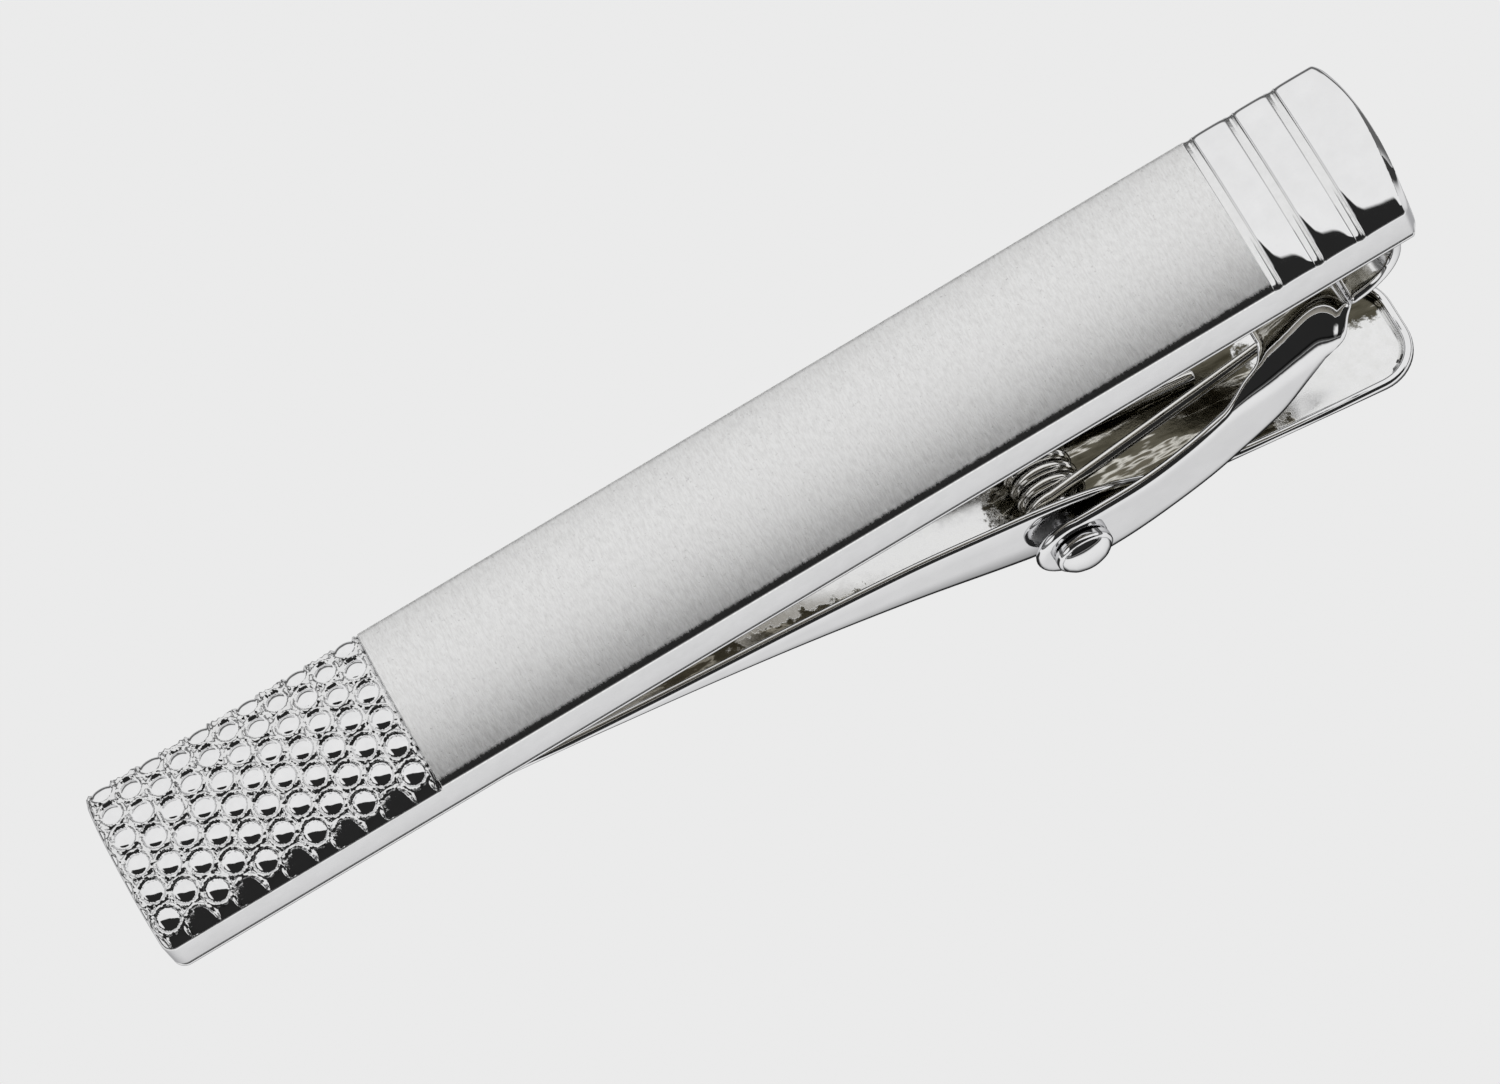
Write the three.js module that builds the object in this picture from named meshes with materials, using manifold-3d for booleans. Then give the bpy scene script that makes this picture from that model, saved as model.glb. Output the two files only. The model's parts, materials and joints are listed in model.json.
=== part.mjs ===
// Tie clip: a decorated metal bar with a sprung alligator clip on its back.
// Millimetres. Z = 0 is the flat front face, +Z points out of it and +X runs along the bar.
// Depths are measured backwards from the bar's back face: see zAt().

import * as THREE from 'three';
import { mergeVertices } from 'three/addons/utils/BufferGeometryUtils.js';
import Module from 'manifold-3d';

const wasm = await Module();
wasm.setup();

// ---- Driving dimensions ----

const bar = { length: 60, width: 8, thickness: 3.4, flatHalfWidth: 0.9, crownHalfWidth: 3.6 };
bar.crownDrop = 0.62; // how far the front has fallen where the rolled edge starts
bar.rollDrop = 1.0; // where the rolled edge meets the straight side
bar.backRadius = 0.3;
bar.cornerRadius = 0.6;
bar.endBow = 0.35;

const pebbles = { zoneLength: 13.35, recess: 0.25, pitch: 1.35, domeRadius: 0.5, domeHeight: 0.2 };
pebbles.firstColumn = 0.86; // from the left end
pebbles.centreShift = 0.46; // sideways shift of the odd columns
const grooves = { lefts: [23.05, 25.02, 26.98], width: 0.48, depth: 0.28 };

const pin = { x: 11.1, depth: 9.9, radius: 0.7, headRadius: 1.3, headRim: 0.5, headDome: 0.4 };

const bracket = { sheet: 0.5, halfWidth: 3.8, neckHalfWidth: 2.5, shoulderRadius: 1.1 };
bracket.tabStart = 13.5;
bracket.bendX = 25.9;
bracket.bendRadius = 3.0; // outside of the bend
bracket.gapToBar = 0.06; // solder film
bracket.windowEnd = 21.65; // the web's edge, towards the hinge
bracket.earRadius = 2.0;
bracket.holeRadius = 0.78;

const lever = { sheet: 0.4, tipX: -26.2, endX: 27.9, tipRadius: 0.8, endRadius: 2.1, holeRadius: 0.78 };
// Depth of the outer floor, depth of the flange edge, half width and bend radius along the lever.
lever.floor = [[-26.2, 0.58], [-22, 1.85], [-10.6, 4.2], [-2.4, 6.8], [9, 11.35], [12, 12.15]];
lever.floor.push([19.6, 13.5], [27.9, 15.4]);
lever.edge = [[-26.2, 0.12], [-22, 1.39], [-10.6, 3.6], [8.5, 6.6], [13, 8.2], [18, 12.3], [27.9, 14.55]];
lever.halfWidth = [[-26.2, 2.4], [-10, 2.6], [13, 2.7], [20, 2.75], [27.9, 2.85]];
lever.bend = [[-26.2, 0.2], [-10.6, 0.3], [4, 1.0], [13, 1.2], [20, 0.5], [27.9, 0.5]];

const spring = { wireRadius: 0.25, coilRadius: 1.25, halfLength: 1.75, turns: 5.5 };
spring.upperLegEnd = { x: 22.4, y: -1.7, depth: 6.36 };
spring.lowerLegEnd = { x: 18.9, y: 1.5, depth: 12.55 };

const colours = { polished: 0xd4d5d6, satin: 0xb9babb, wire: 0x8f8c84 };

// ---- Frame helpers ----

const zAt = (depth) => -bar.thickness - depth;
const pinZ = zAt(pin.depth);
const X = new THREE.Vector3(1, 0, 0);
const Y = new THREE.Vector3(0, 1, 0);
const Z = new THREE.Vector3(0, 0, 1);

// Smooth value at x through a short list of [x, value] stations.
function along(stations, x) {
  const last = stations.length - 1;
  const slope = (i) => {
    const a = stations[Math.max(i - 1, 0)];
    const b = stations[Math.min(i + 1, last)];
    return (b[1] - a[1]) / (b[0] - a[0]);
  };
  let i = 0;
  while (i < last - 1 && x > stations[i + 1][0]) i += 1;
  const [x0, v0] = stations[i];
  const [x1, v1] = stations[i + 1];
  const span = x1 - x0;
  const t = (x - x0) / span;
  const rise = t * t * (3 - 2 * t);
  const start = t * (1 - t) * (1 - t) * span * slope(i);
  const end = t * t * (t - 1) * span * slope(i + 1);
  return v0 + (v1 - v0) * rise + start + end;
}

// ---- Solids ----

function solidOf(geometry) {
  const plain = geometry.clone();
  for (const name of Object.keys(plain.attributes)) {
    if (name !== 'position') plain.deleteAttribute(name);
  }
  const merged = mergeVertices(plain, 1e-4);
  const vertProperties = new Float32Array(merged.attributes.position.array);
  const triVerts = new Uint32Array(merged.index.array);
  return new wasm.Manifold(new wasm.Mesh({ numProp: 3, vertProperties, triVerts }));
}

function geometryOf(solid) {
  const mesh = solid.getMesh();
  const geometry = new THREE.BufferGeometry();
  geometry.setAttribute('position', new THREE.BufferAttribute(mesh.vertProperties, 3));
  geometry.setIndex(new THREE.BufferAttribute(mesh.triVerts, 1));
  geometry.computeVertexNormals();
  return geometry;
}

function extrude(shape, depth, curveSegments = 8) {
  return new THREE.ExtrudeGeometry(shape, { depth, bevelEnabled: false, curveSegments });
}

// An (x, y) outline raised from z0 to z1.
function planSolid(shape, z0, z1) {
  return solidOf(extrude(shape, z1 - z0).translate(0, 0, z0));
}

// An (x, z) outline, as seen from the side, between y = -half and y = half.
function sideSolid(shape, half) {
  const turn = new THREE.Matrix4().makeBasis(X, Z, Y.clone().negate());
  return solidOf(extrude(shape, 2 * half).applyMatrix4(turn).translate(0, half, 0));
}

// A (y, z) section running from x0 to x1.
function sectionSolid(shape, x0, x1) {
  const turn = new THREE.Matrix4().makeBasis(Y, Z, X);
  return solidOf(extrude(shape, x1 - x0).applyMatrix4(turn).translate(x0, 0, 0));
}

function crossDrill(radius, half) {
  const drill = new THREE.CylinderGeometry(radius, radius, 2 * half, 20);
  return solidOf(drill.translate(pin.x, 0, pinZ));
}

// A solid through a row of convex rings, each a list of points with the same count.
function loftSolid(rings) {
  const count = rings[0].length;
  const positions = [];
  const index = [];
  rings.forEach((ring) => ring.forEach((point) => positions.push(...point.toArray())));
  for (let r = 0; r < rings.length - 1; r += 1) {
    for (let i = 0; i < count; i += 1) {
      const j = (i + 1) % count;
      const a = r * count + i;
      const b = r * count + j;
      index.push(a, a + count, b + count);
      index.push(a, b + count, b);
    }
  }
  const lastRing = (rings.length - 1) * count;
  for (let i = 1; i < count - 1; i += 1) {
    index.push(0, i, i + 1);
    index.push(lastRing, lastRing + i + 1, lastRing + i);
  }
  const geometry = new THREE.BufferGeometry();
  geometry.setAttribute('position', new THREE.Float32BufferAttribute(positions, 3));
  geometry.setIndex(index);
  return solidOf(geometry);
}

// ---- Front bar ----

// Height of the crowned front at y: flat in the middle, then an even fall.
function crownZ(y) {
  const beyond = Math.max(Math.abs(y) - bar.flatHalfWidth, 0);
  return -bar.crownDrop * (beyond / (bar.crownHalfWidth - bar.flatHalfWidth)) ** 2;
}

// The bar's section: crowned front, rolled front edges, straight sides, softened back edges.
function barSection(frontZ) {
  const half = bar.width / 2;
  const back = -bar.thickness;
  const r = bar.backRadius;
  const crown = bar.crownHalfWidth;
  const wallTop = frontZ - bar.rollDrop;
  const shape = new THREE.Shape();
  shape.moveTo(-half + r, back);
  shape.lineTo(half - r, back);
  shape.absarc(half - r, back + r, r, -Math.PI / 2, 0, false);
  shape.lineTo(half, wallTop);
  shape.quadraticCurveTo(half, frontZ - bar.crownDrop - 0.17, crown, frontZ - bar.crownDrop);
  const steps = 5;
  for (const side of [1, -1]) {
    for (let i = 0; i <= steps; i += 1) {
      const share = side > 0 ? 1 - i / steps : i / steps;
      const y = side * THREE.MathUtils.lerp(bar.flatHalfWidth, crown, share);
      shape.lineTo(y, frontZ + crownZ(y));
    }
  }
  shape.quadraticCurveTo(-half, frontZ - bar.crownDrop - 0.17, -half, wallTop);
  shape.lineTo(-half, back + r);
  shape.absarc(-half + r, back + r, r, Math.PI, 1.5 * Math.PI, false);
  return shape;
}

// Seen from the front: square left end with softened corners, right end gently bowed.
function barPlan() {
  const left = -bar.length / 2;
  const right = bar.length / 2;
  const half = bar.width / 2 + 0.1;
  const r = bar.cornerRadius;
  const shape = new THREE.Shape();
  shape.moveTo(left + r, -half);
  shape.lineTo(right - bar.endBow - r, -half);
  shape.quadraticCurveTo(right - bar.endBow, -half, right - bar.endBow, -half + r);
  shape.quadraticCurveTo(right + bar.endBow, 0, right - bar.endBow, half - r);
  shape.quadraticCurveTo(right - bar.endBow, half, right - bar.endBow - r, half);
  shape.lineTo(left + r, half);
  shape.quadraticCurveTo(left, half, left, half - r);
  shape.lineTo(left, -half + r);
  shape.quadraticCurveTo(left, -half, left + r, -half);
  return shape;
}

function slab(x0, x1, z0, z1) {
  const box = new THREE.BoxGeometry(x1 - x0, bar.width + 2, z1 - z0);
  return solidOf(box.translate((x0 + x1) / 2, 0, (z0 + z1) / 2));
}

// Domes on a hexagonal lattice whose columns run across the bar.
function pebbleDomes() {
  const { pitch, domeRadius, domeHeight, recess, zoneLength } = pebbles;
  const sphereRadius = (domeRadius ** 2 + domeHeight ** 2) / (2 * domeHeight);
  const below = domeHeight - recess - sphereRadius;
  const columnStep = pitch * Math.cos(Math.PI / 6);
  const columns = Math.floor((zoneLength - pebbles.firstColumn) / columnStep) + 1;
  const domes = [];
  for (let column = 0; column < columns; column += 1) {
    const x = -bar.length / 2 + pebbles.firstColumn + column * columnStep;
    const shift = pebbles.centreShift - (column % 2 === 0 ? pitch / 2 : 0);
    for (let row = -3; row <= 3; row += 1) {
      const y = row * pitch + shift;
      if (Math.abs(y) > bar.crownHalfWidth - 0.3) continue;
      const ball = new THREE.SphereGeometry(sphereRadius, 10, 8);
      ball.rotateX(Math.PI / 2).translate(x, y, crownZ(y) + below);
      domes.push(solidOf(ball));
    }
  }
  return domes;
}

// What to take away to lower the crowned front by a depth between x0 and x1.
function frontCut(x0, x1, depth) {
  const lowered = sectionSolid(barSection(-depth), x0 - 1, x1 + 1);
  return slab(x0, x1, -bar.thickness / 2, 1).subtract(lowered);
}

function makeFrontBar() {
  const left = -bar.length / 2;
  const zoneEnd = left + pebbles.zoneLength;
  const stock = sectionSolid(barSection(0), left - 1, 1 - left);
  const plan = planSolid(barPlan(), -bar.thickness - 1, 1);
  let solid = stock.subtract(frontCut(left - 2, zoneEnd, pebbles.recess));
  for (const dome of pebbleDomes()) solid = solid.add(dome);
  for (const start of grooves.lefts) {
    solid = solid.subtract(frontCut(start, start + grooves.width, grooves.depth));
  }
  return geometryOf(solid.intersect(plan));
}

// ---- Hinge bracket ----

// The strip from the side: soldered tab, bend and the start of the web.
function stripProfile() {
  const { sheet, bendX, bendRadius, gapToBar, tabStart } = bracket;
  const centreZ = zAt(gapToBar + bendRadius);
  const innerRadius = bendRadius - sheet;
  const webStart = 22;
  const shape = new THREE.Shape();
  shape.moveTo(tabStart, centreZ + bendRadius);
  shape.lineTo(bendX, centreZ + bendRadius);
  shape.absarc(bendX, centreZ, bendRadius, Math.PI / 2, -Math.PI / 2, true);
  shape.lineTo(webStart, centreZ - bendRadius);
  shape.lineTo(webStart, centreZ - innerRadius);
  shape.lineTo(bendX, centreZ - innerRadius);
  shape.absarc(bendX, centreZ, innerRadius, -Math.PI / 2, Math.PI / 2, false);
  shape.lineTo(tabStart, centreZ + innerRadius);
  return shape;
}

// One wall line of the saddle: down one side, over the rounded shoulders, down the other.
function saddleSection(topDepth, half, radius) {
  const top = zAt(topDepth);
  const bottom = zAt(pin.depth + 4);
  const shape = new THREE.Shape();
  shape.moveTo(-half, bottom);
  shape.lineTo(half, bottom);
  shape.lineTo(half, top - radius);
  shape.absarc(half - radius, top - radius, radius, 0, Math.PI / 2, false);
  shape.lineTo(-half + radius, top);
  shape.absarc(-half + radius, top - radius, radius, Math.PI / 2, Math.PI, false);
  return shape;
}

// The ears from the side: round end at the pin, tapering up into the web.
function earProfile(webTop) {
  const top = zAt(webTop - 0.2);
  const neckX = bracket.bendX + 0.1;
  const webUnder = zAt(webTop + bracket.sheet);
  const shape = new THREE.Shape();
  shape.moveTo(pin.x, pinZ + bracket.earRadius);
  shape.absarc(pin.x, pinZ, bracket.earRadius, Math.PI / 2, 1.5 * Math.PI, false);
  shape.bezierCurveTo(16.5, zAt(12.1), 20.5, zAt(10.4), 24.9, webUnder);
  shape.lineTo(neckX, webUnder);
  shape.lineTo(neckX, top);
  shape.lineTo(20.6, top);
  shape.bezierCurveTo(17.5, zAt(7.9), 14.5, zAt(8.5), pin.x, pinZ + bracket.earRadius);
  return shape;
}

// The opening between the ears, which leaves the web's edge rounded into both ears.
function webWindow() {
  const half = bracket.halfWidth - bracket.sheet;
  const end = bracket.windowEnd;
  const r = 1.5;
  const shape = new THREE.Shape();
  shape.moveTo(5, -half);
  shape.lineTo(end - r, -half);
  shape.absarc(end - r, -half + r, r, -Math.PI / 2, 0, false);
  shape.lineTo(end, half - r);
  shape.absarc(end - r, half - r, r, 0, Math.PI / 2, false);
  shape.lineTo(5, half);
  return shape;
}

function makeHingeBracket() {
  const { sheet, halfWidth, shoulderRadius, bendRadius, gapToBar } = bracket;
  const webTop = gapToBar + 2 * bendRadius - sheet;
  const start = pin.x - 4;
  const end = bracket.bendX + 0.05;
  const outer = sectionSolid(saddleSection(webTop, halfWidth, shoulderRadius), start, end);
  const innerShape = saddleSection(webTop + sheet, halfWidth - sheet, shoulderRadius - sheet);
  const inner = sectionSolid(innerShape, start - 1, end + 1);
  const ears = outer.subtract(inner).intersect(sideSolid(earProfile(webTop), halfWidth + 1));
  const strip = sideSolid(stripProfile(), bracket.neckHalfWidth);
  const window = planSolid(webWindow(), zAt(15), zAt(1.5));
  const neckTrim = new THREE.Shape();
  neckTrim.moveTo(26.6, bracket.neckHalfWidth);
  neckTrim.lineTo(25.7, bracket.neckHalfWidth);
  neckTrim.quadraticCurveTo(24.7, bracket.neckHalfWidth, 24.0, halfWidth + 0.6);
  neckTrim.lineTo(26.6, halfWidth + 0.6);
  const trim = planSolid(neckTrim, zAt(9), zAt(1.5));
  const body = ears.subtract(trim).subtract(trim.mirror([0, 1, 0])).add(strip);
  return geometryOf(body.subtract(window).subtract(crossDrill(bracket.holeRadius, halfWidth + 1)));
}

// ---- Lever ----

// Half width with the rounded corners at both ends taken in.
function leverHalf(x) {
  const half = along(lever.halfWidth, x);
  const fromTip = x - lever.tipX;
  const fromEnd = lever.endX - x;
  const roundedOff = (distance, radius) => {
    const inside = Math.max(radius - distance, 0);
    return radius - Math.sqrt(Math.max(radius * radius - inside * inside, 0));
  };
  return half - roundedOff(fromTip, lever.tipRadius) - roundedOff(fromEnd, lever.endRadius);
}

// A tray section: straight sides down to rounded bottom corners.
function trayRing(x, half, top, bottom, radius) {
  const ring = [new THREE.Vector3(x, half, top)];
  const arcSteps = 4;
  for (let side = 1; side >= -1; side -= 2) {
    for (let step = 0; step <= arcSteps; step += 1) {
      const turn = (side > 0 ? step : arcSteps - step) * (Math.PI / 2 / arcSteps);
      const y = side * (half - radius + radius * Math.cos(turn));
      const z = bottom + radius - radius * Math.sin(turn);
      ring.push(new THREE.Vector3(x, y, z));
    }
  }
  ring.push(new THREE.Vector3(x, -half, top));
  return ring;
}

function leverStations(start, end) {
  const stations = [];
  const steps = 34;
  for (let i = 0; i <= steps; i += 1) {
    stations.push(start + (end - start) * (i / steps));
  }
  for (const [origin, radius, sign] of [[start, lever.tipRadius, 1], [end, lever.endRadius, -1]]) {
    for (const share of [0.08, 0.25, 0.55]) stations.push(origin + sign * radius * share);
  }
  return stations.sort((a, b) => a - b);
}

function makeLever() {
  const outerRings = [];
  for (const x of leverStations(lever.tipX, lever.endX)) {
    const top = zAt(along(lever.edge, x));
    const bottom = zAt(along(lever.floor, x));
    const half = leverHalf(x);
    outerRings.push(trayRing(x, half, top, bottom, Math.min(along(lever.bend, x), top - bottom)));
  }
  const innerRings = [];
  const innerStart = lever.tipX + 4;
  for (const x of leverStations(innerStart, lever.endX - lever.sheet)) {
    const bottom = zAt(along(lever.floor, x) - lever.sheet);
    const reach = Math.max(x, innerStart + 0.5);
    const half = leverHalf(Math.min(reach + lever.sheet * 0.9, lever.endX - 0.25)) - lever.sheet;
    const radius = Math.max(along(lever.bend, x) - lever.sheet, 0.08);
    innerRings.push(trayRing(x, half, zAt(along(lever.edge, x)) + 2, bottom, radius));
  }
  const drill = crossDrill(lever.holeRadius, lever.halfWidth[2][1] + 1);
  return geometryOf(loftSolid(outerRings).subtract(loftSolid(innerRings)).subtract(drill));
}

// ---- Hinge pin ----

// A rivet with a domed head over each ear.
function makeHingePin() {
  const { radius, headRadius, headRim, headDome } = pin;
  const seat = bracket.halfWidth + 0.06;
  const profile = [];
  const domeSteps = 5;
  for (let i = 0; i <= domeSteps; i += 1) {
    const turn = (i / domeSteps) * (Math.PI / 2);
    const height = seat + headRim + headDome * Math.cos(turn);
    profile.push(new THREE.Vector2(headRadius * Math.sin(turn), -height));
  }
  profile.push(new THREE.Vector2(headRadius, -seat));
  profile.push(new THREE.Vector2(radius, -seat));
  const mirrored = profile.map((point) => new THREE.Vector2(point.x, -point.y)).reverse();
  const geometry = new THREE.LatheGeometry([...profile, ...mirrored], 20);
  return geometryOf(solidOf(geometry).translate([pin.x, 0, pinZ]));
}

// ---- Torsion spring ----

class Coil extends THREE.Curve {
  getPoint(t, target = new THREE.Vector3()) {
    const turn = Math.PI / 2 + t * spring.turns * 2 * Math.PI;
    const y = THREE.MathUtils.lerp(-spring.halfLength, spring.halfLength, t);
    const x = pin.x + spring.coilRadius * Math.cos(turn);
    return target.set(x, y, pinZ + spring.coilRadius * Math.sin(turn));
  }
}

// Close coils round the pin, with one leg under the bracket's web and one on the lever's floor.
function makeTorsionSpring() {
  const coil = new Coil();
  const upper = spring.upperLegEnd;
  const lower = spring.lowerLegEnd;
  const path = new THREE.CurvePath();
  path.add(new THREE.LineCurve3(new THREE.Vector3(upper.x, upper.y, zAt(upper.depth)), coil.getPoint(0)));
  path.add(coil);
  path.add(new THREE.LineCurve3(coil.getPoint(1), new THREE.Vector3(lower.x, lower.y, zAt(lower.depth))));
  const section = new THREE.Shape();
  section.absarc(0, 0, spring.wireRadius, 0, 2 * Math.PI, false);
  const options = { extrudePath: path, steps: 140, curveSegments: 4, bevelEnabled: false };
  return geometryOf(solidOf(new THREE.ExtrudeGeometry(section, options)));
}

// ---- Assembly ----

function piece(name, geometry, color, roughness) {
  const material = new THREE.MeshStandardMaterial({ color, roughness, metalness: 1 });
  const mesh = new THREE.Mesh(geometry, material);
  mesh.name = name;
  return mesh;
}

const tieClip = new THREE.Group();
tieClip.add(piece('front_bar', makeFrontBar(), colours.satin, 0.25));
tieClip.add(piece('hinge_bracket', makeHingeBracket(), colours.polished, 0.12));
tieClip.add(piece('clip_lever', makeLever(), colours.polished, 0.12));
tieClip.add(piece('hinge_pin', makeHingePin(), colours.polished, 0.1));
tieClip.add(piece('torsion_spring', makeTorsionSpring(), colours.wire, 0.3));

export default tieClip;
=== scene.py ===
import json
import math

import bpy
import numpy as np
from mathutils import Matrix, Vector


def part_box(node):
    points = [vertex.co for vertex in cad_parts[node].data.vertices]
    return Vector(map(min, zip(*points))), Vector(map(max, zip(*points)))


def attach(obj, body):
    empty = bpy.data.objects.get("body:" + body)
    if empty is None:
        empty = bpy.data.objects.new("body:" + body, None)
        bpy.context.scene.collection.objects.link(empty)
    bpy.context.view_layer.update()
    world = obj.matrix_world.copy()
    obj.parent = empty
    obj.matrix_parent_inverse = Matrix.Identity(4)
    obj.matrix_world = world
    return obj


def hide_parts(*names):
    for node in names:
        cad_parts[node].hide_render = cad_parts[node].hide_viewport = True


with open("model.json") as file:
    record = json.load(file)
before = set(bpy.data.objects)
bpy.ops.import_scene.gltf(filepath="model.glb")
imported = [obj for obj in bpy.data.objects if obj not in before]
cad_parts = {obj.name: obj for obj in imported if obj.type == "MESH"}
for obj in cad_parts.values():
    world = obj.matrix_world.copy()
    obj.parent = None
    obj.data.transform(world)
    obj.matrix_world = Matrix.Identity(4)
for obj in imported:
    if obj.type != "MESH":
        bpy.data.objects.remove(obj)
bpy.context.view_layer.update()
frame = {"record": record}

MM = 0.001

# ---- Places taken from the frame, in millimetres ----

bar_lo, bar_hi = (np.array(corner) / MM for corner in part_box("front_bar"))
lever_lo, lever_hi = (np.array(corner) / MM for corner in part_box("clip_lever"))
bracket_hi = np.array(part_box("hinge_bracket")[1]) / MM
pivot = np.array(frame["record"]["behaviour"]["joints"][0]["pos_m"]) / MM
LEFT, RIGHT = bar_lo[0], bar_hi[0]
HALF = bar_hi[1]
BACK = bar_lo[2]
PIN_X, PIN_Z = pivot[0], pivot[2]


def z_at(depth):
    """Height of a point that lies this deep behind the bar's back face."""
    return BACK - depth


# ---- Small maths ----


def step(a, b, x):
    """A smooth rise from 0 at a to 1 at b."""
    t = np.clip((x - a) / (b - a), 0, 1)
    return t * t * (3 - 2 * t)


def along(stations, x):
    """Smooth value at x through a short list of (x, value) stations."""
    xs = np.array([s[0] for s in stations], float)
    vs = np.array([s[1] for s in stations], float)
    slopes = np.gradient(vs, xs)
    slopes[1:-1] = (vs[2:] - vs[:-2]) / (xs[2:] - xs[:-2])
    x = np.asarray(x, float)
    i = np.clip(np.searchsorted(xs, x, side="right") - 1, 0, len(xs) - 2)
    span = xs[i + 1] - xs[i]
    t = np.clip((x - xs[i]) / span, -0.2, 1.2)
    rise = t * t * (3 - 2 * t)
    start = t * (1 - t) ** 2 * span * slopes[i]
    end = t * t * (t - 1) * span * slopes[i + 1]
    return vs[i] + (vs[i + 1] - vs[i]) * rise + start + end


def dense(points, count):
    """Points spread evenly by length along a smooth curve through a few points."""
    points = np.array(points, float)
    chord = np.r_[0, np.cumsum(np.linalg.norm(np.diff(points, axis=0), axis=1))]
    fine = np.linspace(0, chord[-1], 400)
    axes = range(points.shape[1])
    curve = np.stack([along(list(zip(chord, points[:, k])), fine) for k in axes], 1)
    length = np.r_[0, np.cumsum(np.linalg.norm(np.diff(curve, axis=0), axis=1))]
    even = np.linspace(0, length[-1], count)
    return np.stack([np.interp(even, length, curve[:, k]) for k in axes], 1)


# ---- Meshes ----


def grid_faces(rows, columns, closed=False):
    """Quads between neighbouring points of a grid stored row by row."""
    r = np.arange(rows - 1)[:, None]
    c = np.arange(columns if closed else columns - 1)[None, :]
    nxt = (c + 1) % columns
    a, b = r * columns + c, r * columns + nxt
    quads = np.stack([a, b, b + columns, a + columns], -1)
    return quads.reshape(-1, 4)


def mesh_piece(name, verts, faces, materials, face_material=None, smooth_angle=40):
    """A piece from points in millimetres, sharp only where faces meet at more than smooth_angle."""
    mesh = bpy.data.meshes.new(name)
    mesh.from_pydata((np.asarray(verts) * MM).tolist(), [], [list(map(int, f)) for f in faces])
    for material in materials:
        mesh.materials.append(material)
    mesh.validate()
    if face_material is not None:
        mesh.polygons.foreach_set("material_index", np.asarray(face_material, np.int32))
    mesh.shade_smooth()
    mesh.set_sharp_from_angle(angle=math.radians(smooth_angle))
    mesh.update()
    piece = bpy.data.objects.new(name, mesh)
    bpy.context.scene.collection.objects.link(piece)
    return piece


def merge(verts, faces, tolerance):
    """Joins points that coincide, and drops the corners that this empties."""
    keys = np.round(np.asarray(verts) / tolerance).astype(np.int64)
    _, first, inverse = np.unique(keys, axis=0, return_index=True, return_inverse=True)
    inverse = inverse.ravel()
    kept = []
    for face in faces:
        loop = []
        for i in face:
            j = int(inverse[i])
            if j not in loop:
                loop.append(j)
        if len(loop) > 2:
            kept.append(loop)
    return np.asarray(verts)[first], kept


def sheet_piece(name, verts, faces, thickness, materials):
    """A sheet grown both ways from its middle surface, with its rim rounded.

    The first material goes on the outside and the rim, the last on the inside.
    """
    verts, faces = merge(verts, faces, 2e-3)
    count, radius = len(verts), thickness / 2
    normals = np.zeros_like(verts)
    edges = {}
    for face in faces:
        corners = verts[face]
        normals[face] += np.cross(corners[2] - corners[0], corners[-1] - corners[1])
        for a, b in zip(face, face[1:] + face[:1]):
            edge = (min(a, b), max(a, b))
            edges[edge] = edges.get(edge, 0) + 1
    normals /= np.maximum(np.linalg.norm(normals, axis=1), 1e-9)[:, None]
    rim = np.array([edge for edge, uses in edges.items() if uses == 1])
    start, run = verts[rim[:, 0]], verts[rim[:, 1]] - verts[rim[:, 0]]
    distance = np.empty(count)
    for i, point in enumerate(verts):
        share = ((point - start) * run).sum(1) / np.maximum((run * run).sum(1), 1e-12)
        nearest = start + run * np.clip(share, 0, 1)[:, None]
        distance[i] = np.sqrt(((nearest - point) ** 2).sum(1).min())
    half = np.sqrt(np.clip(radius**2 - (radius - np.minimum(distance, radius)) ** 2, 0, None))
    on_rim = np.zeros(count, bool)
    on_rim[rim.ravel()] = True
    half[on_rim] = 0
    inner = np.where(on_rim, np.arange(count), np.arange(count) + count)
    both = np.vstack([verts + normals * half[:, None], verts - normals * half[:, None]])
    loops = [list(face) for face in faces] + [[int(inner[i]) for i in face[::-1]] for face in faces]
    past_rim = [int(distance[face].mean() > radius) for face in faces]
    kinds = [past * (len(materials) - 1) for past in past_rim] + [0] * len(faces)
    used = np.unique(np.concatenate([np.array(loop) for loop in loops]))
    place = np.full(2 * count, -1)
    place[used] = np.arange(len(used))
    loops = [[int(place[i]) for i in loop] for loop in loops]
    return mesh_piece(name, both[used], loops, materials, kinds, smooth_angle=180)


def from_rim(length, radius, count):
    """Shares of a length, crowded near 0 so that a rim of this radius comes out round."""
    near = radius * (1 - np.cos(np.linspace(0, math.pi / 2, 6))) * min(1, 0.8 * length / radius)
    return np.r_[near[:-1], np.linspace(near[-1], length, count)] / length


def settle(piece, body, node):
    """The piece stands for a CAD node, which it hides, and rides on its body."""
    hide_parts(node)
    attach(piece, body)


# ---- Materials ----


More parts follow.
